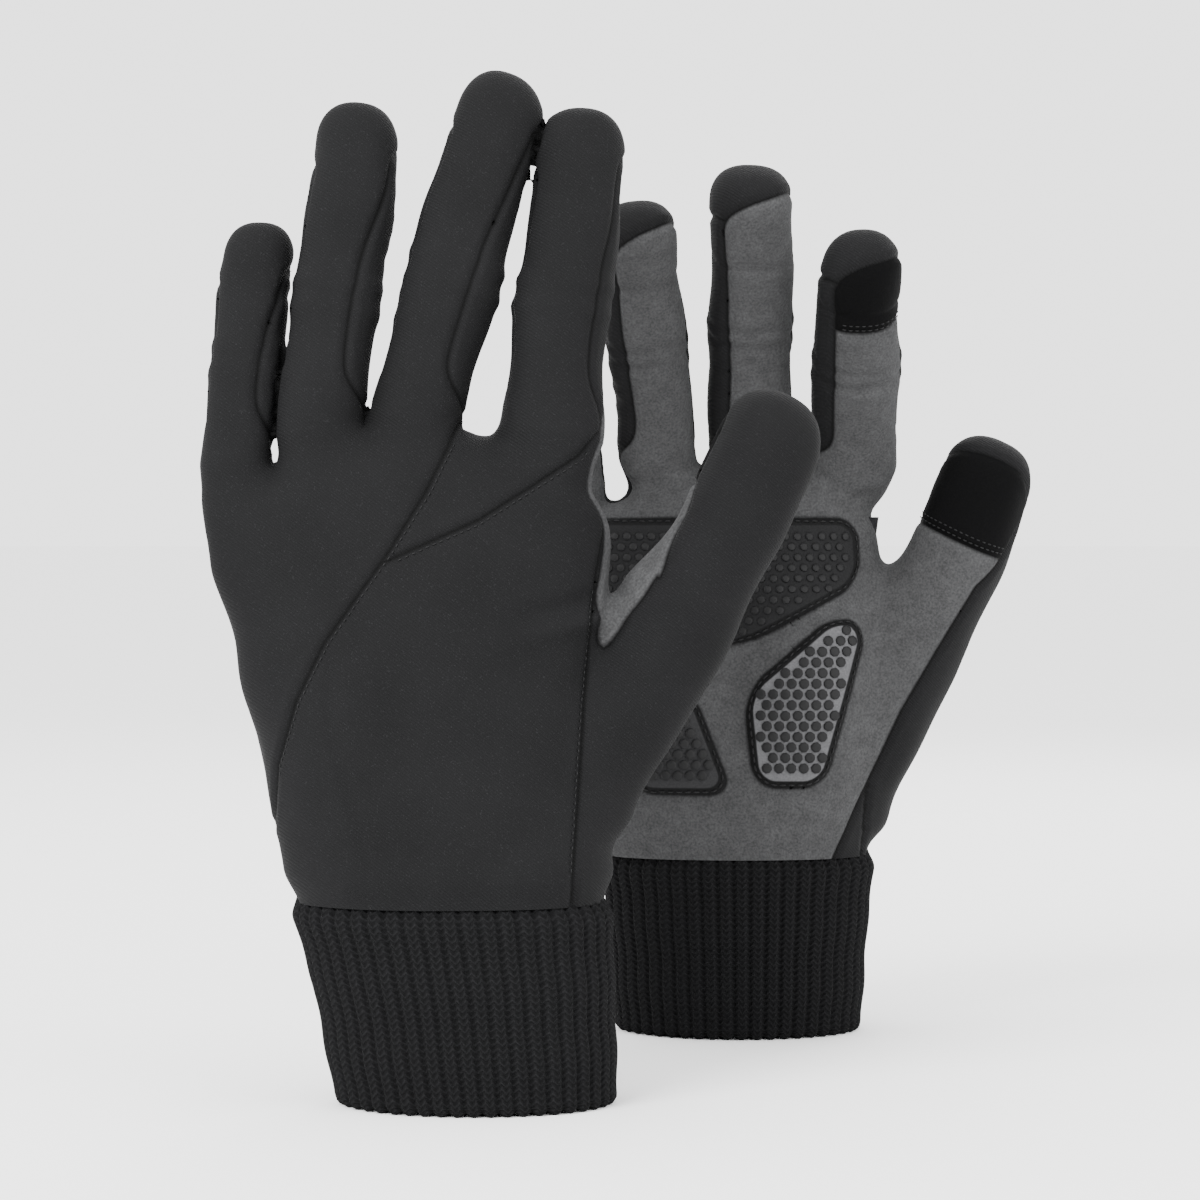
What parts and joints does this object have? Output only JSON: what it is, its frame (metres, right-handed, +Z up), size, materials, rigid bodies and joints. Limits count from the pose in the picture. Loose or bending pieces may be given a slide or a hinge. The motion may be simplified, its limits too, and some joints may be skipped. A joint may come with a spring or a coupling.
{
  "type": "touchscreen gloves",
  "caption": "Pair of knitted-cuff winter gloves with softshell backs, suede palms, honeycomb grip pads and touch-sensitive fingertips, standing upright on their cuffs.",
  "frame": {"origin": "middle of the pair on the surface that the cuff hems stand on", "axes": "+Z up along the hands towards the fingertips, +X towards the thumbs, -Y is the way the back of the left glove and the palm of the right glove face"},
  "size_m": [0.2278, 0.188, 0.2639],
  "materials": {
    "softshell": "matte fine twill softshell with light flecks",
    "suede": "brushed grey microsuede",
    "touch_fabric": "smooth conductive fabric",
    "grip_silicone": "raised honeycomb dots over suede",
    "rib_knit": "two by two rib knit",
    "fleece_lining": "brushed fleece"
  },
  "bodies": {
    "left_hand": {"left_hand_back": "softshell", "left_hand_palm": "suede", "left_lining": "fleece_lining", "left_cuff": "rib_knit", "left_knuckle_pad": "grip_silicone", "left_thumb_pad": "grip_silicone", "left_heel_pad": "grip_silicone"},
    "left_index_base": {"left_index_base_back": "softshell", "left_index_base_palm": "suede"},
    "left_index_tip": {"left_index_tip_back": "softshell", "left_index_tip_palm": "suede", "left_index_touch": "touch_fabric"},
    "left_middle_base": {"left_middle_base_back": "softshell", "left_middle_base_palm": "suede"},
    "left_middle_tip": {"left_middle_tip_back": "softshell", "left_middle_tip_palm": "suede"},
    "left_ring_base": {"left_ring_base_back": "softshell", "left_ring_base_palm": "suede"},
    "left_ring_tip": {"left_ring_tip_back": "softshell", "left_ring_tip_palm": "suede"},
    "left_little_base": {"left_little_base_back": "softshell", "left_little_base_palm": "suede"},
    "left_little_tip": {"left_little_tip_back": "softshell", "left_little_tip_palm": "suede"},
    "left_thumb_base": {"left_thumb_base_back": "softshell", "left_thumb_base_palm": "suede"},
    "left_thumb_tip": {"left_thumb_tip_back": "softshell", "left_thumb_touch": "touch_fabric"},
    "right_hand": {"right_hand_back": "softshell", "right_hand_palm": "suede", "right_lining": "fleece_lining", "right_cuff": "rib_knit", "right_knuckle_pad": "grip_silicone", "right_thumb_pad": "grip_silicone", "right_heel_pad": "grip_silicone"},
    "right_index_base": {"right_index_base_back": "softshell", "right_index_base_palm": "suede"},
    "right_index_tip": {"right_index_tip_back": "softshell", "right_index_tip_palm": "suede", "right_index_touch": "touch_fabric"},
    "right_middle_base": {"right_middle_base_back": "softshell", "right_middle_base_palm": "suede"},
    "right_middle_tip": {"right_middle_tip_back": "softshell", "right_middle_tip_palm": "suede"},
    "right_ring_base": {"right_ring_base_back": "softshell", "right_ring_base_palm": "suede"},
    "right_ring_tip": {"right_ring_tip_back": "softshell", "right_ring_tip_palm": "suede"},
    "right_little_base": {"right_little_base_back": "softshell", "right_little_base_palm": "suede"},
    "right_little_tip": {"right_little_tip_back": "softshell", "right_little_tip_palm": "suede"},
    "right_thumb_base": {"right_thumb_base_back": "softshell", "right_thumb_base_palm": "suede"},
    "right_thumb_tip": {"right_thumb_tip_back": "softshell", "right_thumb_touch": "touch_fabric"}
  },
  "joints": [
    {"name": "pair_apart", "type": "slide", "parent": "left_hand", "child": "right_hand", "axis": [1, 0, 0], "range_m": [0, 0.16]},
    {"name": "left_index_flex", "type": "hinge", "parent": "left_hand", "child": "left_index_base", "pos_m": [-0.0243, -0.05404, 0.16902], "axis": [-0.9949, 0, 0.1011], "range_deg": [0, 60], "stiffness_Nm_per_rad": 0.06},
    {"name": "left_index_curl", "type": "hinge", "parent": "left_index_base", "child": "left_index_tip", "pos_m": [-0.02067, -0.05187, 0.20478], "axis": [-0.9949, 0, 0.1011], "range_deg": [0, 72], "stiffness_Nm_per_rad": 0.06},
    {"name": "left_middle_flex", "type": "hinge", "parent": "left_hand", "child": "left_middle_base", "pos_m": [-0.05943, -0.05503, 0.17213], "axis": [-0.9659, 0, 0.2588], "range_deg": [0, 60], "stiffness_Nm_per_rad": 0.06},
    {"name": "left_middle_curl", "type": "hinge", "parent": "left_middle_base", "child": "left_middle_tip", "pos_m": [-0.04911, -0.05184, 0.21065], "axis": [-0.9659, 0, 0.2588], "range_deg": [0, 72], "stiffness_Nm_per_rad": 0.06},
    {"name": "left_ring_flex", "type": "hinge", "parent": "left_hand", "child": "left_ring_base", "pos_m": [-0.08322, -0.05585, 0.16798], "axis": [-0.9934, 0, 0.1149], "range_deg": [0, 60], "stiffness_Nm_per_rad": 0.06},
    {"name": "left_ring_curl", "type": "hinge", "parent": "left_ring_base", "child": "left_ring_tip", "pos_m": [-0.07899, -0.05217, 0.20456], "axis": [-0.9934, 0, 0.1149], "range_deg": [0, 72], "stiffness_Nm_per_rad": 0.06},
    {"name": "left_little_flex", "type": "hinge", "parent": "left_hand", "child": "left_little_base", "pos_m": [-0.10472, -0.05679, 0.1607], "axis": [-0.996, 0, 0.0889], "range_deg": [0, 60], "stiffness_Nm_per_rad": 0.06},
    {"name": "left_little_curl", "type": "hinge", "parent": "left_little_base", "child": "left_little_tip", "pos_m": [-0.10226, -0.05256, 0.18827], "axis": [-0.996, 0, 0.0889], "range_deg": [0, 72], "stiffness_Nm_per_rad": 0.06},
    {"name": "left_thumb_flex", "type": "hinge", "parent": "left_hand", "child": "left_thumb_base", "pos_m": [0.00559, -0.04935, 0.12883], "axis": [-0.7908, -0.421, 0.4443], "range_deg": [0, 45], "stiffness_Nm_per_rad": 0.06},
    {"name": "left_thumb_curl", "type": "hinge", "parent": "left_thumb_base", "child": "left_thumb_tip", "pos_m": [0.01809, -0.04761, 0.15272], "axis": [-0.7908, -0.421, 0.4443], "range_deg": [0, 58.5], "stiffness_Nm_per_rad": 0.06},
    {"name": "right_index_flex", "type": "hinge", "parent": "right_hand", "child": "right_index_base", "pos_m": [0.06194, 0.05394, 0.15776], "axis": [0.9998, 0, 0.0175], "range_deg": [0, 45], "stiffness_Nm_per_rad": 0.06},
    {"name": "right_index_curl", "type": "hinge", "parent": "right_index_base", "child": "right_index_tip", "pos_m": [0.06145, 0.03155, 0.18596], "axis": [0.9998, 0, 0.0175], "range_deg": [0, 54], "stiffness_Nm_per_rad": 0.06},
    {"name": "right_middle_flex", "type": "hinge", "parent": "right_hand", "child": "right_middle_base", "pos_m": [0.03247, 0.05535, 0.16359], "axis": [0.9997, 0, 0.0262], "range_deg": [0, 45], "stiffness_Nm_per_rad": 0.06},
    {"name": "right_middle_curl", "type": "hinge", "parent": "right_middle_base", "child": "right_middle_tip", "pos_m": [0.03159, 0.03381, 0.19729], "axis": [0.9997, 0, 0.0262], "range_deg": [0, 54], "stiffness_Nm_per_rad": 0.06},
    {"name": "right_ring_flex", "type": "hinge", "parent": "right_hand", "child": "right_ring_base", "pos_m": [0.00557, 0.05602, 0.16105], "axis": [0.9954, 0, 0.0958], "range_deg": [0, 45], "stiffness_Nm_per_rad": 0.06},
    {"name": "right_ring_curl", "type": "hinge", "parent": "right_ring_base", "child": "right_ring_tip", "pos_m": [0.00259, 0.03603, 0.19205], "axis": [0.9954, 0, 0.0958], "range_deg": [0, 54], "stiffness_Nm_per_rad": 0.06},
    {"name": "right_little_flex", "type": "hinge", "parent": "right_hand", "child": "right_little_base", "pos_m": [-0.01864, 0.05772, 0.15382], "axis": [0.9877, 0, 0.1564], "range_deg": [0, 45], "stiffness_Nm_per_rad": 0.06},
    {"name": "right_little_curl", "type": "hinge", "parent": "right_little_base", "child": "right_little_tip", "pos_m": [-0.02252, 0.04471, 0.17831], "axis": [0.9877, 0, 0.1564], "range_deg": [0, 54], "stiffness_Nm_per_rad": 0.06},
    {"name": "right_thumb_flex", "type": "hinge", "parent": "right_hand", "child": "right_thumb_base", "pos_m": [0.07672, 0.04941, 0.11782], "axis": [0.8113, -0.4185, -0.4083], "range_deg": [0, 20], "stiffness_Nm_per_rad": 0.06},
    {"name": "right_thumb_curl", "type": "hinge", "parent": "right_thumb_base", "child": "right_thumb_tip", "pos_m": [0.08747, 0.04627, 0.1424], "axis": [0.8113, -0.4185, -0.4083], "range_deg": [0, 26], "stiffness_Nm_per_rad": 0.06}
  ],
  "couplings": [
    {"joint": "left_index_curl", "follows": "left_index_flex", "ratio": 1.2},
    {"joint": "left_middle_curl", "follows": "left_middle_flex", "ratio": 1.2},
    {"joint": "left_ring_curl", "follows": "left_ring_flex", "ratio": 1.2},
    {"joint": "left_little_curl", "follows": "left_little_flex", "ratio": 1.2},
    {"joint": "left_thumb_curl", "follows": "left_thumb_flex", "ratio": 1.3},
    {"joint": "right_index_curl", "follows": "right_index_flex", "ratio": 1.2},
    {"joint": "right_middle_curl", "follows": "right_middle_flex", "ratio": 1.2},
    {"joint": "right_ring_curl", "follows": "right_ring_flex", "ratio": 1.2},
    {"joint": "right_little_curl", "follows": "right_little_flex", "ratio": 1.2},
    {"joint": "right_thumb_curl", "follows": "right_thumb_flex", "ratio": 1.3}
  ]
}
